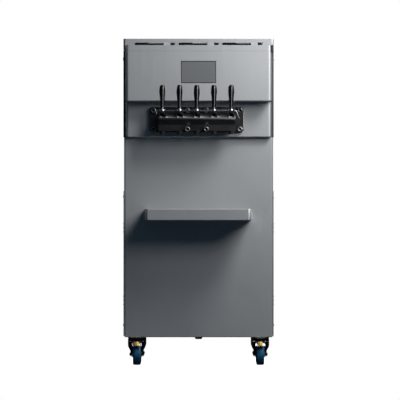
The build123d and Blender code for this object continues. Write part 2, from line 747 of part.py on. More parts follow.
def caster_fork(x, y):
    """A hooded fork with its kingpin and axle; the wheel trails to the front."""
    axle_y = y - caster_trail
    pedal_y = y - 8
    fork_back = y + 34
    with BuildPart() as fork:
        for back_y, shoulder, ankle, toe, top, bottom, mode in (
                (fork_back, fork_half, 28.5, 22.5, fork_top, 37, Mode.ADD),
                (fork_back - fork_wall, fork_half - 7, 22.6, 22.6, fork_top - fork_wall, 36, Mode.SUBTRACT)):
            with BuildSketch(Plane.XZ.offset(-back_y)):
                for side in (-1, 1):
                    with BuildLine():
                        Polyline((x, top), (x + side * shoulder, top), (x + side * shoulder, 94))
                        Spline((x + side * shoulder, 94), (x + side * (shoulder - 4), 79),
                               (x + side * ankle, 55), tangents=((0, -1), (0, -1)))
                        Polyline((x + side * ankle, 55), (x + side * ankle, 44), (x + side * toe, bottom),
                                 (x, bottom), (x, top))
                    make_face()
            extrude(amount=110, mode=mode)
            if mode == Mode.ADD:
                with BuildSketch(Plane.YZ.offset(x - fork_half)):
                    with Locations((axle_y, wheel_radius)):
                        Circle(13)
                    with BuildLine():
                        Polyline((y - 36, fork_top), (fork_back, fork_top), (fork_back, 60),
                                 (axle_y + 13, 44), (axle_y - 13, 48), (y - 44, 96), close=True)
                    make_face()
                extrude(amount=2 * fork_half, mode=Mode.INTERSECT)
        rod_along_z(x, y, kingpin, fork_top - fork_wall, base_height - 1)
        rod_along_x(axle_y, wheel_radius, 5, x - 28.5, x + 28.5)
        for side in (-1, 1):
            with BuildSketch(Plane.YZ.offset(x + side * 28.5)):
                with Locations((axle_y, wheel_radius)):
                    Circle(12)
            extrude(amount=side * 5.5, taper=55)
        rod_along_x(pedal_y, 108, 3 + fit, x - fork_half, x + fork_half, Mode.SUBTRACT)
    return fork


def caster_wheel(x, y):
    """A rubber-tyred wheel: a moulded hub and a crowned tyre around it."""
    axle = (x, y - caster_trail, wheel_radius)
    rim = 34
    with BuildPart() as wheel:
        with BuildSketch(Plane(origin=axle, x_dir=(1, 0, 0), z_dir=(0, -1, 0))):
            with BuildLine():
                Polyline((-17, rim + 0.01), (17, rim + 0.01), (18.6, rim + 4))
                ThreePointArc((18.6, rim + 4), (17.6, 45), (14.5, 48.6))
                ThreePointArc((14.5, 48.6), (0, wheel_radius), (-14.5, 48.6))
                ThreePointArc((-14.5, 48.6), (-17.6, 45), (-18.6, rim + 4))
                Line((-18.6, rim + 4), (-17, rim + 0.01))
            make_face()
        revolve(axis=Axis(axle, (1, 0, 0)))
        with BuildSketch(Plane(origin=axle, x_dir=(1, 0, 0), z_dir=(0, -1, 0))):
            with BuildLine():
                Polyline((-22, 5 + fit), (22, 5 + fit), (22, 12), (8, 15), (8, 28), (17, 30), (17, rim),
                         (-17, rim), (-17, 30), (-8, 28), (-8, 15), (-22, 12), close=True)
            make_face()
        revolve(axis=Axis(axle, (1, 0, 0)))
    return wheel


def brake_pedal(x, y):
    """A pressed pedal over the wheel, hinged in the fork, with the nut that sets it."""
    pedal_y = y - 8
    with BuildPart() as pedal:
        with BuildSketch(Plane.YZ.offset(x - 22.5)):
            with BuildLine():
                Polyline((pedal_y + 5, 104), (pedal_y + 5, 111), (pedal_y - 5, 111),
                         (y - 45, 106), (y - 90, 101), (y - 92, 98.5), (y - 92, 87), (y - 89.5, 87),
                         (y - 89.5, 98), (y - 45, 103.3), (y - 30, 103.5), (pedal_y - 5, 104), close=True)
            make_face()
        extrude(amount=45)
        rod_along_x(pedal_y, 108, 3, x - fork_half + 0.5, x + fork_half - 0.5)
        with BuildSketch(Plane.XY.offset(89)):
            with Locations((x, y - 97)):
                RegularPolygon(11, 6, major_radius=False, rotation=0)
        extrude(amount=19)
    return pedal


for name, x, y in swivels:
    save(f"caster_fork_{name}", caster_fork(x, y).part)
    save(f"caster_wheel_{name}", caster_wheel(x, y).part)
for name, x, y in swivels[:2]:
    save(f"brake_pedal_{name}", brake_pedal(x, y).part)
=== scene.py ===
import json
from math import cos, pi, radians, sin

import bmesh
import bpy
from mathutils import Matrix, Vector


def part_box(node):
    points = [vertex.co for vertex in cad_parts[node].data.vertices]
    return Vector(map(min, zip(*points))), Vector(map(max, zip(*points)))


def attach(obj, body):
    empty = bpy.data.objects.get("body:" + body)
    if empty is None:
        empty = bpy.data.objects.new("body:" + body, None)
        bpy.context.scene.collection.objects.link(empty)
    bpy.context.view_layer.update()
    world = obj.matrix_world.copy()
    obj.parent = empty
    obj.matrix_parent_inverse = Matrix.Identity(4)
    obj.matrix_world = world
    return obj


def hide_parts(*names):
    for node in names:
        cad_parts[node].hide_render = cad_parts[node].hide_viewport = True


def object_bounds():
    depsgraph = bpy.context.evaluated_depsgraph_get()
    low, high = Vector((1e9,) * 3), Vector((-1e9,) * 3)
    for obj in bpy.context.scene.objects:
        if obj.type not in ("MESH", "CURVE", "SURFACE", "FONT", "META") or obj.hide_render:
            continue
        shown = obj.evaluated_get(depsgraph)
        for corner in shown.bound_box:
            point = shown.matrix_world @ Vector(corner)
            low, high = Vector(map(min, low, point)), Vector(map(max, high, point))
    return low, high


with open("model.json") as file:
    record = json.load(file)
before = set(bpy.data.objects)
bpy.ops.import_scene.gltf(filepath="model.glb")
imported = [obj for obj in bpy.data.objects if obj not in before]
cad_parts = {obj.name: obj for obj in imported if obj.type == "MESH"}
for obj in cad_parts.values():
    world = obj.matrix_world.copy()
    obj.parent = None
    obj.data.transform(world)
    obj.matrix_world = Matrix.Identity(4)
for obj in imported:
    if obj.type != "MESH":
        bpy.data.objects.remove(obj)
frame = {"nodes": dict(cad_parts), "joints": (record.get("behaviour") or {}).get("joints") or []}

cad_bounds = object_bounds()
nodes = frame["nodes"]
MM = 0.001
SHARP = radians(35)               # edges sharper than this are rounded


# ---------------------------------------------------------------- node helpers
def new_material(name):
    """A material with a Principled shader: returns the material, its node tree and the shader."""
    material = bpy.data.materials.new(name)
    material.use_nodes = True
    tree = material.node_tree
    return material, tree, tree.nodes["Principled BSDF"]


def noise(tree, scale, stretch=(1, 1, 1), detail=4.0, roughness=0.55):
    """Noise in the object's own metres, stretched along its axes."""
    place = tree.nodes.new("ShaderNodeTexCoord")
    mapping = tree.nodes.new("ShaderNodeMapping")
    mapping.inputs["Scale"].default_value = stretch
    texture = tree.nodes.new("ShaderNodeTexNoise")
    texture.inputs["Scale"].default_value = scale
    texture.inputs["Detail"].default_value = detail
    texture.inputs["Roughness"].default_value = roughness
    tree.links.new(place.outputs["Object"], mapping.inputs["Vector"])
    tree.links.new(mapping.outputs["Vector"], texture.inputs["Vector"])
    return texture.outputs["Fac"]


def spread(tree, value, low, high, start=0.3, end=0.7):
    """Map a value from start..end to low..high."""
    node = tree.nodes.new("ShaderNodeMapRange")
    node.inputs["From Min"].default_value = start
    node.inputs["From Max"].default_value = end
    node.inputs["To Min"].default_value = low
    node.inputs["To Max"].default_value = high
    tree.links.new(value, node.inputs["Value"])
    return node.outputs["Result"]


def blend_colours(tree, value, first, second):
    """A colour between two, by value."""
    node = tree.nodes.new("ShaderNodeMix")
    node.data_type = "RGBA"
    node.inputs["A"].default_value = (*first, 1)
    node.inputs["B"].default_value = (*second, 1)
    tree.links.new(value, node.inputs["Factor"])
    return node.outputs["Result"]


def bump(tree, shader, height, distance, strength=1.0):
    """Bump the shader's surface by a height."""
    node = tree.nodes.new("ShaderNodeBump")
    node.inputs["Distance"].default_value = distance
    node.inputs["Strength"].default_value = strength
    tree.links.new(height, node.inputs["Height"])
    tree.links.new(node.outputs["Normal"], shader.inputs["Normal"])


def edge_wear(tree, low=0.52, high=0.6):
    """1 on sharp outer edges, 0 elsewhere."""
    geometry = tree.nodes.new("ShaderNodeNewGeometry")
    return spread(tree, geometry.outputs["Pointiness"], 0.0, 1.0, low, high)


# ---------------------------------------------------------------- materials
def brushed_steel(name, colour, rough, grain=(1400, 1400, 5)):
    """Brushed sheet: streaks along the axis where grain is small, and faint smudges."""
    material, tree, shader = new_material(name)
    streaks = noise(tree, 1.0, grain, 3)
    smudges = noise(tree, 4.0, (1, 1, 1), 3)
    light = tuple(min(1.0, c * 1.05) for c in colour)
    dark = tuple(c * 0.95 for c in colour)
    tree.links.new(blend_colours(tree, streaks, dark, light), shader.inputs["Base Color"])
    add = tree.nodes.new("ShaderNodeMath")
    tree.links.new(spread(tree, streaks, rough - 0.05, rough + 0.05), add.inputs[0])
    tree.links.new(spread(tree, smudges, -0.015, 0.02), add.inputs[1])
    tree.links.new(add.outputs["Value"], shader.inputs["Roughness"])
    shader.inputs["Metallic"].default_value = 1.0
    bump(tree, shader, streaks, 0.00001, 0.3)
    return material


def polished_steel(name, colour, rough, metallic=1.0):
    """Turned or plated metal with faint turning marks."""
    material, tree, shader = new_material(name)
    marks = noise(tree, 60.0, (1, 1, 1), 5)
    dark = tuple(c * 0.9 for c in colour)
    tree.links.new(blend_colours(tree, marks, dark, colour), shader.inputs["Base Color"])
    tree.links.new(spread(tree, marks, rough - 0.04, rough + 0.06), shader.inputs["Roughness"])
    shader.inputs["Metallic"].default_value = metallic
    bump(tree, shader, noise(tree, 900.0), 0.00001, 0.4)
    return material


def coated(name, colour, rough, worn_colour, grain=500.0, coat=0.0, ior=1.5):
    """A painted or coated surface: fine orange peel, and the edges worn a little lighter."""
    material, tree, shader = new_material(name)
    peel = noise(tree, grain, (1, 1, 1), 2)
    worn = blend_colours(tree, edge_wear(tree), colour, worn_colour)
    tree.links.new(worn, shader.inputs["Base Color"])
    patches = spread(tree, noise(tree, 9.0), rough - 0.05, rough + 0.06)
    tree.links.new(patches, shader.inputs["Roughness"])
    shader.inputs["IOR"].default_value = ior
    shader.inputs["Coat Weight"].default_value = coat
    shader.inputs["Coat Roughness"].default_value = 0.1
    bump(tree, shader, peel, 0.00006, 0.5)
    return material


def moulded(name, colour, rough, grain=900.0, depth=0.00004, ior=1.5):
    """Moulded plastic or rubber with a fine spark-eroded grain and faint dust in its colour."""
    material, tree, shader = new_material(name)
    texture = noise(tree, grain, (1, 1, 1), 3)
    light = tuple(min(1.0, c * 1.35 + 0.004) for c in colour)
    cloud = spread(tree, noise(tree, 14.0), 0.0, 1.0)
    tree.links.new(blend_colours(tree, cloud, colour, light), shader.inputs["Base Color"])
    tree.links.new(spread(tree, texture, rough - 0.06, rough + 0.08), shader.inputs["Roughness"])
    shader.inputs["IOR"].default_value = ior
    bump(tree, shader, texture, depth, 0.6)
    return material


def display_surface(name, border, active, half_width, half_height, middle_z):
    """An unlit display: a dark border around a slightly lighter active area."""
    material, tree, shader = new_material(name)
    place = tree.nodes.new("ShaderNodeTexCoord")
    split = tree.nodes.new("ShaderNodeSeparateXYZ")
    tree.links.new(place.outputs["Object"], split.inputs["Vector"])
    inside = []
    for output, middle, half in (("X", 0.0, half_width), ("Z", middle_z, half_height)):
        away = tree.nodes.new("ShaderNodeMath")
        away.operation = "SUBTRACT"
        away.inputs[1].default_value = middle
        size = tree.nodes.new("ShaderNodeMath")
        size.operation = "ABSOLUTE"
        tree.links.new(split.outputs[output], away.inputs[0])
        tree.links.new(away.outputs["Value"], size.inputs[0])
        inside.append(spread(tree, size.outputs["Value"], 1.0, 0.0, half, half + 0.0006))
    both = tree.nodes.new("ShaderNodeMath")
    both.operation = "MULTIPLY"
    tree.links.new(inside[0], both.inputs[0])
    tree.links.new(inside[1], both.inputs[1])
    shown = blend_colours(tree, both.outputs["Value"], border, active)
    tree.links.new(shown, shader.inputs["Base Color"])
    tree.links.new(spread(tree, noise(tree, 12.0), 0.32, 0.40), shader.inputs["Roughness"])
    bump(tree, shader, noise(tree, 1500.0), 0.00001, 0.3)
    return material


screen_low, screen_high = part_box("touch_screen")
screen_middle = (screen_low + screen_high) / 2
DISPLAY_HALF_WIDTH = 76.5 * MM
DISPLAY_HALF_HEIGHT = 46.5 * MM

steel = brushed_steel("cabinet_brushed_steel", (0.60, 0.615, 0.63), 0.60)
side_steel = brushed_steel("side_brushed_steel", (0.60, 0.61, 0.62), 0.50)
# a dark steel that paints the shade on the side panels' front edges beside the header and fascia
painted_shade_steel = brushed_steel("trim_dark_steel", (0.11, 0.113, 0.118), 0.50)
deck = brushed_steel("deck_brushed_steel", (0.36, 0.364, 0.37), 0.60, (900, 5, 900))
frame_paint = coated("frame_grey_coat", (0.05, 0.052, 0.055), 0.5, (0.12, 0.12, 0.12))
motor_paint = coated("motor_enamel", (0.02, 0.024, 0.028), 0.42, (0.1, 0.1, 0.1))
fins = brushed_steel("condenser_fins", (0.7, 0.71, 0.72), 0.45, (900, 3, 3))
gloss_black = coated("gloss_black", (0.003, 0.003, 0.0035), 0.30, (0.008, 0.008, 0.009), 250.0,
                     ior=1.6)
grip_black = coated("grip_gloss_black", (0.002, 0.002, 0.0025), 0.13, (0.005, 0.005, 0.005), 400.0)
nozzle_black = moulded("nozzle_black", (0.012, 0.012, 0.013), 0.3)
valve_dark = moulded("valve_acetal", (0.05, 0.05, 0.055), 0.4)
lid_black = moulded("lid_black", (0.004, 0.004, 0.005), 0.5, 1200.0, 0.0001, 1.2)
nut_metal = polished_steel("nut_dark_steel", (0.36, 0.365, 0.37), 0.36)
bright_steel = polished_steel("polished_steel", (0.72, 0.72, 0.73), 0.22)
lever_metal = polished_steel("lever_steel", (0.40, 0.405, 0.41), 0.34)
screw_metal = polished_steel("screw_steel", (0.45, 0.46, 0.47), 0.3)
caster_black = coated("caster_black_coat", (0.008, 0.008, 0.010), 0.38, (0.05, 0.05, 0.055), 350.0,
                      coat=0.2)
tyre_blue = moulded("tyre_blue_rubber", (0.010, 0.120, 0.240), 0.55, 700.0, 0.0002)
hub_black = moulded("hub_black_plastic", (0.015, 0.015, 0.016), 0.4)
pedal_zinc = polished_steel("pedal_zinc_plate", (0.62, 0.62, 0.64), 0.38)
yellow_zinc = polished_steel("yellow_zinc_plate", (0.85, 0.56, 0.14), 0.40, 0.4)
fitting_black = moulded("fitting_black", (0.012, 0.012, 0.013), 0.45)
display = display_surface("display_surface", (0.055, 0.058, 0.060), (0.17, 0.178, 0.182),
                          DISPLAY_HALF_WIDTH, DISPLAY_HALF_HEIGHT, screen_middle.z)

CAD_MATERIALS = {
    "chassis_frame": frame_paint, "front_panel": steel, "dispensing_fascia": steel,
    "header_panel": steel, "header_band": steel, "touch_screen": display, "rear_panel": side_steel,
    "side_panel_left_upper": side_steel, "side_panel_right_upper": side_steel,
    "side_panel_left_lower": side_steel, "side_panel_right_lower": side_steel,
    "top_gallery": steel, "top_deck": deck, "hopper_tubs": deck, "freezing_cylinders": deck,
    "gearmotors": motor_paint, "compressor": motor_paint, "condenser": fins,
    "head_block": gloss_black, "head_nuts": nut_metal, "pivot_rod": nut_metal,
    "nozzles": nozzle_black, "caster_plates": caster_black, "drain_spigot": fitting_black,
    "side_screws": screw_metal, "cable_gland": fitting_black, "drip_tray": steel,
    "drip_tray_grid": deck, "condenser_fan": fitting_black,
}
SHARED_MATERIALS = {"lever_arm_": lever_metal, "lever_grip_": grip_black, "piston_": valve_dark,
                    "hopper_lid_": lid_black, "beater_": deck, "caster_fork_": caster_black,
                    "caster_wheel_": tyre_blue, "brake_pedal_": pedal_zinc}
for name, node in nodes.items():
    material = CAD_MATERIALS.get(name)
    for prefix, shared in SHARED_MATERIALS.items():
        if name.startswith(prefix):
            material = shared
    node.data.materials.clear()
    node.data.materials.append(material)


# ---------------------------------------------------------------- softened edges on CAD nodes
def bevel_edges(thing, width, segments):
    """Round an object's sharp edges; width is in millimetres."""
    bevel = thing.modifiers.new("bevel", "BEVEL")
    bevel.width = width * MM
    bevel.segments = segments
    bevel.limit_method = "ANGLE"
    bevel.angle_limit = SHARP
    bevel.harden_normals = True


def soften(name, width, segments=2):
    """Round a CAD node's sharp edges slightly, so that they catch the light."""
    weld = nodes[name].modifiers.new("weld", "WELD")
    weld.merge_threshold = 0.01 * MM
    bevel_edges(nodes[name], width, segments)


SOFTENED = {"head_block": 1.0, "drip_tray": 0.5, "top_gallery": 0.3, "touch_screen": 0.3,
            "caster_plates": 0.8, "drain_spigot": 1.0, "drip_tray_grid": 0.4,
            "side_screws": 0.8, "cable_gland": 0.6, "pivot_rod": 0.6, "condenser": 0.8,
            "side_panel_left_upper": 0.3, "side_panel_right_upper": 0.3,
            "side_panel_left_lower": 0.3, "side_panel_right_lower": 0.3}
for name, width in SOFTENED.items():
    soften(name, width)
for name in nodes.keys():
    if name.startswith("caster_fork_"):
        soften(name, 1.6, 3)
    if name.startswith(("hopper_lid_", "lever_arm_")):
        soften(name, 0.5)


# ---------------------------------------------------------------- mesh helpers
def finish_piece(mesh, name, body, material, smooth_angle=35, edge=0.0):
    """Turn a bmesh into an object that rides on a body and takes one material.

    Faces meet smoothly up to smooth_angle, in degrees; edge is a bevel in millimetres.
    """
    bmesh.ops.recalc_face_normals(mesh, faces=mesh.faces)
    data = bpy.data.meshes.new(name)
    mesh.to_mesh(data)
    mesh.free()
    piece = bpy.data.objects.new(name, data)
    bpy.context.scene.collection.objects.link(piece)
    data.materials.append(material)
    data.shade_smooth()
    data.set_sharp_from_angle(angle=radians(smooth_angle))
    if edge:
        bevel_edges(piece, edge, 3)
    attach(piece, body)
    return piece


def turned(mesh, outline, place, segments):
    """Revolve (radius, height) points in millimetres about local Z, put where place says.

    A third number in a point is how much every other segment is sunk, which makes a knurl.
    """
    rings = []
    for radius, height, *drop in outline:
        if radius == 0:
            rings.append([mesh.verts.new(place @ Vector((0, 0, height * MM)))])
            continue
        ring = []
        for n in range(segments):
            turn = 2 * pi * n / segments
            reach = (radius - (drop[0] if drop and n % 2 else 0)) * MM
            point = Vector((reach * cos(turn), reach * sin(turn), height * MM))
            ring.append(mesh.verts.new(place @ point))
        rings.append(ring)
    for lower, upper in zip(rings, rings[1:]):
        for n in range(segments):
            m = (n + 1) % segments
            corners = [lower[n % len(lower)], lower[m % len(lower)],
                       upper[m % len(upper)], upper[n % len(upper)]]
            mesh.faces.new(list(dict.fromkeys(corners)))


def extruded(mesh, outline, x_low, x_high):
    """A closed (y, z) outline in metres, extruded along X."""
    ends = [[mesh.verts.new((x, y, z)) for y, z in outline] for x in (x_low, x_high)]
    mesh.faces.new(ends[0])
    mesh.faces.new(reversed(ends[1]))
    for n in range(len(outline)):
        m = (n + 1) % len(outline)
        mesh.faces.new((ends[0][n], ends[0][m], ends[1][m], ends[1][n]))


def section(profile, y, z):
    """A (y, z) profile in millimetres, moved to a point in metres."""
    return [(y + across * MM, z + up * MM) for across, up in profile]


def smooth_line(points, steps=6):
    """A Catmull-Rom curve through the given (radius, height) points."""
    line = []
    padded = [points[0]] + list(points) + [points[-1]]
    for a, b, c, d in zip(padded, padded[1:], padded[2:], padded[3:]):
        for step in range(steps):
            t = step / steps
            line.append(tuple(0.5 * (2 * q + (r - p) * t + (2 * p - 5 * q + 4 * r - s) * t ** 2
                                     + (3 * q - p - 3 * r + s) * t ** 3)
                              for p, q, r, s in zip(a, b, c, d)))
    return line + [points[-1]]


def facing(point, axis):
    """A place at a point, with local Z along an axis."""
    turn = Vector(axis).to_track_quat("Z", "Y").to_matrix().to_4x4()
    return Matrix.Translation(Vector(point)) @ turn


joint_at = {joint["name"]: Vector(joint["pos_m"])
            for joint in frame["joints"] if "pos_m" in joint}

# ---------------------------------------------------------------- lever grips
GRIP_LEAN = radians(4)
GRIP_FOOT = [(0, 14.2), (7.4, 13.8), (8.3, 14.1), (8.7, 15.0), (8.7, 18.4), (8.2, 18.9), (8.2, 19.7)]
GRIP_CURVE = smooth_line([(8.75, 20.2), (9.4, 36), (11.6, 58), (14.25, 84), (13.0, 104), (11.0, 115)])
GRIP_TOP = [(10.1, 116.7), (8.6, 118.1), (6.4, 118.8), (3.2, 119), (0, 119)]
grip_axis = (0, -sin(GRIP_LEAN), cos(GRIP_LEAN))
for number in range(1, 6):
    pivot = joint_at[f"lever_{number}_pull"]
    mesh = bmesh.new()
    turned(mesh, GRIP_FOOT + GRIP_CURVE + GRIP_TOP, facing(pivot, grip_axis), 56)
    grip = finish_piece(mesh, f"turned_grip_{number}", f"lever_{number}",
                        grip_black, 50)
    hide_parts(f"lever_grip_{number}")

# ---------------------------------------------------------------- knurled nuts on the head
NUT_RADIUS = 12
NUT_COLUMNS = (-199, -43, 43, 199)
BLOCK_HALF = 100                  # the lower nuts nearer to the middle than this sit on the block
FLANGE_THICK = 14
BLOCK_REACH = 92                  # from the fascia to the seat of the nuts on the block
NUT_OUTLINE = [(0, 0.3), (10.2, 0.3), (11.3, 0.8), (12, 1.8, 0.6), (12, 12.6, 0.6), (11.2, 13.8),
               (10.4, 14.0), (10.4, 14.6), (9.9, 15.5), (8.8, 16), (7.6, 16), (6.8, 15.6),
               (6.5, 14.8), (6.5, 2), (0, 2)]
# a stud end sunk in each nut's bore, gloss black to paint the shade deep in the recess
PAINTED_SHADE_STUD_OUTLINE = [(0, 9.4), (4.6, 9.4), (5.4, 9.0), (6.6, 8.8), (6.6, 8), (0, 8)]
nuts_low, nuts_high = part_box("head_nuts")
head_low, head_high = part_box("head_block")
head_x = (head_low.x + head_high.x) / 2
nut_heights = (nuts_low.z + NUT_RADIUS * MM, nuts_high.z - NUT_RADIUS * MM)
for row, z in enumerate(nut_heights):
    for column, offset in enumerate(NUT_COLUMNS):
        on_block = row == 0 and abs(offset) < BLOCK_HALF
        reach = BLOCK_REACH if on_block else FLANGE_THICK
        place = facing((head_x + offset * MM, head_high.y - reach * MM, z), (0, -1, 0))
        mesh = bmesh.new()
        turned(mesh, NUT_OUTLINE, place, 72)
        nut = finish_piece(mesh, f"knurled_nut_{row}_{column}", "cabinet", nut_metal, 30)
        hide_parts("head_nuts")
        # painted shade: a gloss black stud end deep in the nut's bore darkens the recess
        mesh = bmesh.new()
        turned(mesh, PAINTED_SHADE_STUD_OUTLINE, place, 32)
        finish_piece(mesh, f"stud_end_{row}_{column}", "cabinet", gloss_black, 30)

# ---------------------------------------------------------------- hopper lids' steel tabs
RIB_HEIGHT = 10                   # the lid's rib stands this far above its top
TAB_GAP = 0.15                    # from the lid's front face
TAB_START = 40.5                  # from the lid's middle, across
TAB_END = 71.5
TAB_THICK = 1.8
TAB_PROFILE = [(0, -12.1), (0, 7.2), (0.9, 8.1), (1.8, 7.2), (1.8, 1.8), (31.5, 1.8), (31.5, -0.4),
               (1.8, -0.4), (1.8, -12.1)]
RIVET_OUTLINE = [(3.2, -0.2), (3.1, 0.5), (2.5, 1.1), (1.4, 1.5), (0, 1.6)]
RIVETS_ACROSS = (49, 65)
RIVETS_BACK = 18
for side in ("left", "centre", "right"):
    body = f"hopper_lid_{side}"
    low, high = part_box(body)
    middle = (low.x + high.x) / 2
    front = low.y - TAB_GAP * MM
    lid_top = high.z - RIB_HEIGHT * MM
    mesh = bmesh.new()
    extruded(mesh, section(TAB_PROFILE, front, lid_top), middle + TAB_START * MM, middle + TAB_END * MM)
    finish_piece(mesh, f"lid_tab_{side}", body, steel, 35, 0.3)
    mesh = bmesh.new()
    for offset in RIVETS_ACROSS:
        seat = (middle + offset * MM, front + RIVETS_BACK * MM, lid_top + TAB_THICK * MM)
        turned(mesh, RIVET_OUTLINE, facing(seat, (0, 0, 1)), 24)
    finish_piece(mesh, f"tab_rivets_{side}", body, bright_steel, 60)

# ---------------------------------------------------------------- caster wheels
CORNERS = ("front_left", "front_right", "rear_left", "rear_right")
TYRE_CROWN = [(50.0, 1.0)] + [(49.3 + 0.65 * cos(radians(9 * n)), 1.6 + 1.5 * n) for n in range(1, 7)]
TYRE_EDGE = [(49.0, 13.0), (48.3, 14.9), (47.0, 16.4), (45.0, 17.5), (41.5, 18.3), (38.0, 18.6),
             (35.5, 18.2), (34.0, 17.2)]
HUB_SIDE = [(5.3, 22.0), (11.4, 22.0), (12.8, 21.4), (14.2, 18.5), (15.4, 9.2), (17.0, 8.0),
            (27.5, 8.2), (29.0, 9.4), (30.2, 16.6), (31.2, 17.6), (33.2, 17.6), (34.0, 16.8)]
SPOKES = 8
SPOKE_FLOOR = 7.0
SPOKE_ENDS = ((14.8, 1.8, 14.6), (30.0, 1.3, 11.6))          # radius, half width, height
BOX_FACES = ((0, 1, 3, 2), (4, 6, 7, 5), (0, 4, 5, 1), (2, 3, 7, 6), (1, 5, 7, 3), (0, 2, 6, 4))


def mirrored(outline):
    """The mirror image of an outline across height 0, followed by the outline."""
    return [(r, -h) for r, h in reversed(outline)] + list(outline)


def spoke(mesh, place, side):
    """A tapering spoke along local X, on one side of the wheel's disc."""
    corners = []
    for reach, half, top in SPOKE_ENDS:
        for across in (-half, half):
            for height in (SPOKE_FLOOR, top):
                corner = Vector((reach, across, side * height)) * MM
                corners.append(mesh.verts.new(place @ corner))
    for face in BOX_FACES:
        mesh.faces.new([corners[n] for n in face])


for corner in CORNERS:
    axle = facing(joint_at[f"caster_{corner}_roll"], (1, 0, 0))
    body = f"caster_wheel_{corner}"
    mesh = bmesh.new()
    turned(mesh, mirrored(TYRE_CROWN + TYRE_EDGE), axle, 96)
    tyre = finish_piece(mesh, f"tyre_{corner}", body, tyre_blue, 50)
    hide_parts(body)
    mesh = bmesh.new()
    turned(mesh, mirrored(HUB_SIDE), axle, 64)
    for n in range(SPOKES):
        for side in (-1, 1):
            spoke(mesh, axle @ Matrix.Rotation(2 * pi * n / SPOKES, 4, "Z"), side)
    finish_piece(mesh, f"hub_{corner}", body, hub_black, 40)

# ---------------------------------------------------------------- brake pedals
PEDAL_HALF = 22.5
PEDAL_PROFILE = [(-3, 104), (-3, 109.6), (-4.6, 111), (-13, 111), (-45, 106), (-89, 101.1),
                 (-91.4, 100), (-92, 98), (-92, 87.2), (-89.8, 87), (-89.5, 97.2), (-88, 98.4),
                 (-45, 103.3), (-30, 103.5)]
PEDAL_PIN = [(0, -40.3), (2.6, -40.3), (3, -39.9), (3, 39.9), (2.6, 40.3), (0, 40.3)]
HEX_TURN = radians(30)
HEX_CORNER = 11 / cos(HEX_TURN)
HEX_OUTLINE = [(0, 0), (10.2, 0), (HEX_CORNER, 1.2), (HEX_CORNER, 15.6), (10.2, 17.0), (6.5, 17.2)]
HEX_STUD = [(6.5, 17.2), (6.0, 17.4), (6.0, 18.5), (5.2, 19), (0, 19)]
HEX_FORWARD = 97                  # from the swivel
HEX_HEIGHT = 89
for corner in CORNERS[:2]:
    body = f"brake_pedal_{corner}"
    swivel = joint_at[f"caster_{corner}_swivel"]
    mesh = bmesh.new()
    extruded(mesh, section(PEDAL_PROFILE, swivel.y, 0),
             swivel.x - PEDAL_HALF * MM, swivel.x + PEDAL_HALF * MM)
    turned(mesh, PEDAL_PIN, facing(joint_at[f"brake_{corner}_press"], (1, 0, 0)), 32)
    pedal = finish_piece(mesh, f"pressed_pedal_{corner}", body, pedal_zinc, 35, 0.5)
    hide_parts(body)
    mesh = bmesh.new()
    place = facing((swivel.x, swivel.y - HEX_FORWARD * MM, HEX_HEIGHT * MM), (0, 0, 1))
    place = place @ Matrix.Rotation(HEX_TURN, 4, "Z")
    turned(mesh, HEX_OUTLINE, place, 6)
    turned(mesh, HEX_STUD, place, 32)
    nut = finish_piece(mesh, f"pedal_nut_{corner}", body, yellow_zinc, 20)
    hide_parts(body)

# ---------------------------------------------------------------- painted shade: dark strips on the side panels' front edges beside header and fascia
fascia_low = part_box("dispensing_fascia")[0]
gallery_low, gallery_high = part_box("top_gallery")
band_low, band_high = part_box("header_band")
SHADE_STRIP_EDGE = 0.4                   # left bare beside a painted shade strip
SHADE_STRIP_PROUD = 0.95
SHADE_STRIP_SUNK = 0.05                  # into the face, so that nothing shows between
SHADE_STRIP_LIFT = 1.0                   # from the header band's lower edge


def painted_shade_strip(mesh, x_low, x_high, face_y, z_low, z_high):
    """A thin strip of painted shade on a face that looks to the front."""
    front = face_y - SHADE_STRIP_PROUD * MM
    back = face_y + SHADE_STRIP_SUNK * MM
    outline = [(back, z_low), (front, z_low), (front, z_high), (back, z_high)]
    extruded(mesh, outline, x_low, x_high)


# painted shade: these dark strips stand where the side panels' front edges lie in shade
for side, turn in (("left", -1), ("right", 1)):
    panel_low, panel_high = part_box(f"side_panel_{side}_upper")
    mesh = bmesh.new()
    painted_shade_strip(mesh, panel_low.x + SHADE_STRIP_EDGE * MM, panel_high.x - SHADE_STRIP_EDGE * MM, panel_low.y,
               fascia_low.z, panel_high.z)
    ends = sorted((turn * (gallery_high.x - SHADE_STRIP_EDGE * MM), turn * (band_high.x + SHADE_STRIP_EDGE * MM)))
    painted_shade_strip(mesh, *ends, gallery_low.y, band_low.z + SHADE_STRIP_LIFT * MM, band_high.z)
    finish_piece(mesh, f"edge_trim_{side}", "cabinet", painted_shade_steel, 35, 0.3)

# ---------------------------------------------------------------- screws on the rear panel and deck
SCREW_OUTLINE = [(6.5, -0.2), (6.5, 0.7), (6.1, 0.9), (4.6, 1.0), (4.5, 2.0), (3.6, 3.0), (2.2, 3.4),
                 (1.9, 2.2), (0, 2.1)]
REAR_INSET = 12
DECK_INSET = (30, 40)             # across, and front to back
DECK_INNER = 100                  # from the middle, across


def panel_screws(name, points, axis):
    """Pan-head screws with their washers, standing on points in a panel."""
    mesh = bmesh.new()
    for point in points:
        turned(mesh, SCREW_OUTLINE, facing(point, axis), 24)
    finish_piece(mesh, name, "cabinet", screw_metal, 40)


rear_low, rear_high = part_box("rear_panel")
rear_x = (rear_low.x + REAR_INSET * MM, 0, rear_high.x - REAR_INSET * MM)
rear_z = (rear_low.z + REAR_INSET * MM, (rear_low.z + rear_high.z) / 2, rear_high.z - REAR_INSET * MM)
panel_screws("rear_panel_screws", [(x, rear_high.y, z) for x in rear_x for z in rear_z], (0, 1, 0))

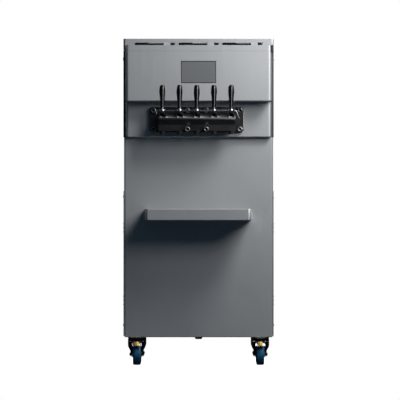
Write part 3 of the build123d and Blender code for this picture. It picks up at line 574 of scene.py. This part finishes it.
deck_low, deck_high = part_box("top_deck")
deck_x = (deck_low.x + DECK_INSET[0] * MM, -DECK_INNER * MM,
          DECK_INNER * MM, deck_high.x - DECK_INSET[0] * MM)
deck_y = (deck_low.y + DECK_INSET[1] * MM, deck_high.y - DECK_INSET[1] * MM)
panel_screws("deck_screws", [(x, y, deck_high.z) for x in deck_x for y in deck_y], (0, 0, 1))


# ---------------------------------------------------------------- camera
def look(thing, target):
    """Point a light or camera at a place."""
    thing.rotation_euler = (Vector(target) - thing.location).to_track_quat("-Z", "Y").to_euler()


LENS = 1000.0                     # so long that the view is a plain front elevation
SENSOR = 36.0
VIEW_WIDTH = 1.84                 # metres across the frame, at the door
VIEW_X = 0.0067
VIEW_Z = 0.7595
door_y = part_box("front_panel")[0].y

camera_data = bpy.data.cameras.new("camera")
camera_data.lens = LENS
camera_data.sensor_width = SENSOR
camera_data.clip_end = 200
camera = bpy.data.objects.new("camera", camera_data)
camera.location = (VIEW_X, door_y - VIEW_WIDTH * LENS / SENSOR, VIEW_Z)
camera.rotation_euler = (pi / 2, 0, 0)
bpy.context.scene.collection.objects.link(camera)
bpy.context.scene.camera = camera


# ---------------------------------------------------------------- lights
def softbox(name, location, target, width, height, power, colour):
    """A rectangular soft light."""
    data = bpy.data.lights.new(name, "AREA")
    data.shape = "RECTANGLE"
    data.size = width
    data.size_y = height
    data.energy = power
    data.color = colour
    light = bpy.data.objects.new(name, data)
    light.location = location
    look(light, target)
    light.visible_camera = False
    bpy.context.scene.collection.objects.link(light)
    return light


def pieces_named(starts):
    """The meshes whose names start with any of these."""
    return [piece for piece in bpy.data.objects
            if piece.type == "MESH" and piece.name.startswith(starts)]


def only_on(light, pieces):
    """Let a light fall on these pieces only, as if flagged off the steel around them."""
    receivers = bpy.data.collections.new(light.name + "_receivers")
    for piece in pieces:
        receivers.objects.link(piece)
    light.light_linking.receiver_collection = receivers


def not_shaded_by(light, pieces):
    """Let a light pass these pieces, so that they cast no shadow in it."""
    blockers = bpy.data.collections.new(light.name + "_blockers")
    for piece in pieces:
        blockers.objects.link(piece)
        blockers.collection_objects[-1].light_linking.link_state = "EXCLUDE"
    light.light_linking.blocker_collection = blockers


WHITE = (1, 1, 1)
COOL = (0.92, 0.96, 1.0)
ALL = ()
GRIPS = ("turned_grip_",)
DETAILS = ("turned_grip_", "pedal_nut_", "pressed_pedal_", "caster_plates")
# Two keys from the upper right draw the shadows on the front; the fills light the sides and back.
# name: location, target, width, height, watts, colour, the pieces that it falls on
SOFTBOXES = {
    "key_high": ((1.1, -1.2, 2.45), (0.1, -0.27, 1.0), 0.8, 0.8, 41, WHITE, ALL),
    "key_side": ((1.5, -2.0, 1.85), (0.1, -0.27, 1.0), 0.8, 0.8, 18, WHITE, ALL),
    "detail_strip": ((0.95, -2.2, 0.95), (0, -0.3, 0.95), 0.55, 2.0, 34, WHITE, DETAILS),
    "head_light": ((0.5, -1.7, 2.4), (0, -0.35, 1.13), 1.8, 1.2, 17, WHITE, ("head_block",)),
    "flange_light": ((0.55, -0.75, 1.13), (0.19, -0.28, 1.13), 0.2, 0.2, 5, WHITE, ("head_block",)),
    "low_light": ((0.9, -3.0, 0.5), (0, -0.3, 0.1), 1.6, 0.7, 10, WHITE,
                  ("pedal_nut_", "pressed_pedal_")),
    "nut_light": ((0.7, -2.4, 1.6), (0, -0.3, 1.15), 0.5, 0.5, 1.2, WHITE, ("knurled_nut_",)),
    "fill_left": ((-1.8, 2.8, 1.7), (-0.34, 0.1, 0.8), 2.0, 2.0, 24, COOL, ALL),
    "side_light": ((-2.7, -0.2, 1.3), (-0.34, 0.1, 0.8), 1.6, 1.6, 14, COOL,
                   ("side_panel_left_", "side_screws")),
    "fill_right": ((2.0, 2.6, 1.7), (0.34, 0.1, 0.8), 2.0, 2.0, 24, WHITE, ALL),
    "fill_back": ((0.6, 3.0, 1.7), (0, 0.4, 0.8), 2.4, 2.4, 26, WHITE, ALL),
    "fill_top": ((0.3, 0.6, 3.2), (0, 0.1, 1.4), 1.2, 1.2, 3, WHITE, ALL),
}
for name, (location, target, width, height, power, colour, receivers) in SOFTBOXES.items():
    light = softbox(name, location, target, width, height, power, colour)
    if receivers:
        only_on(light, pieces_named(receivers))
    if name.startswith("key_"):
        not_shaded_by(light, pieces_named(GRIPS))

# ---------------------------------------------------------------- surroundings and floor
AIR_BELOW = (0.016, 0.025, 0.036)
AIR_ABOVE = (0.018, 0.028, 0.040)
world = bpy.data.worlds.new("world")
bpy.context.scene.world = world
world.use_nodes = True
world_tree = world.node_tree
backdrop = world_tree.nodes["Background"]
sky = world_tree.nodes.new("ShaderNodeTexCoord")
height = world_tree.nodes.new("ShaderNodeSeparateXYZ")
world_tree.links.new(sky.outputs["Generated"], height.inputs["Vector"])
shade = spread(world_tree, height.outputs["Z"], 0.0, 1.0, -0.25, 0.15)
world_tree.links.new(blend_colours(world_tree, shade, AIR_BELOW, AIR_ABOVE), backdrop.inputs["Color"])
seen = world_tree.nodes.new("ShaderNodeBackground")
seen.inputs["Color"].default_value = (1, 1, 1, 1)
seen.inputs["Strength"].default_value = 1.0
rays = world_tree.nodes.new("ShaderNodeLightPath")
choose = world_tree.nodes.new("ShaderNodeMixShader")
world_tree.links.new(rays.outputs["Is Camera Ray"], choose.inputs["Fac"])
world_tree.links.new(backdrop.outputs["Background"], choose.inputs[1])
world_tree.links.new(seen.outputs["Background"], choose.inputs[2])
world_tree.links.new(choose.outputs["Shader"], world_tree.nodes["World Output"].inputs["Surface"])

bpy.context.scene.view_settings.view_transform = "Standard"

FLOOR_HALF = 2.2
FLOOR_GAP = 0.0005                # below the wheels, so that no face lies in another
floor_mesh = bmesh.new()
bmesh.ops.create_grid(floor_mesh, x_segments=1, y_segments=1, size=FLOOR_HALF)
floor_data = bpy.data.meshes.new("floor")
floor_mesh.to_mesh(floor_data)
floor_mesh.free()
floor = bpy.data.objects.new("floor", floor_data)
floor.location.z = cad_bounds[0][2] - FLOOR_GAP
bpy.context.scene.collection.objects.link(floor)
floor_material, _, floor_shader = new_material("pale_floor")
floor_shader.inputs["Base Color"].default_value = (0.85, 0.85, 0.85, 1)
floor_shader.inputs["Roughness"].default_value = 0.9
floor_shader.inputs["Emission Color"].default_value = (1, 1, 1, 1)
floor_shader.inputs["Emission Strength"].default_value = 0.9
floor_data.materials.append(floor_material)
floor.visible_diffuse = False
floor.visible_glossy = False
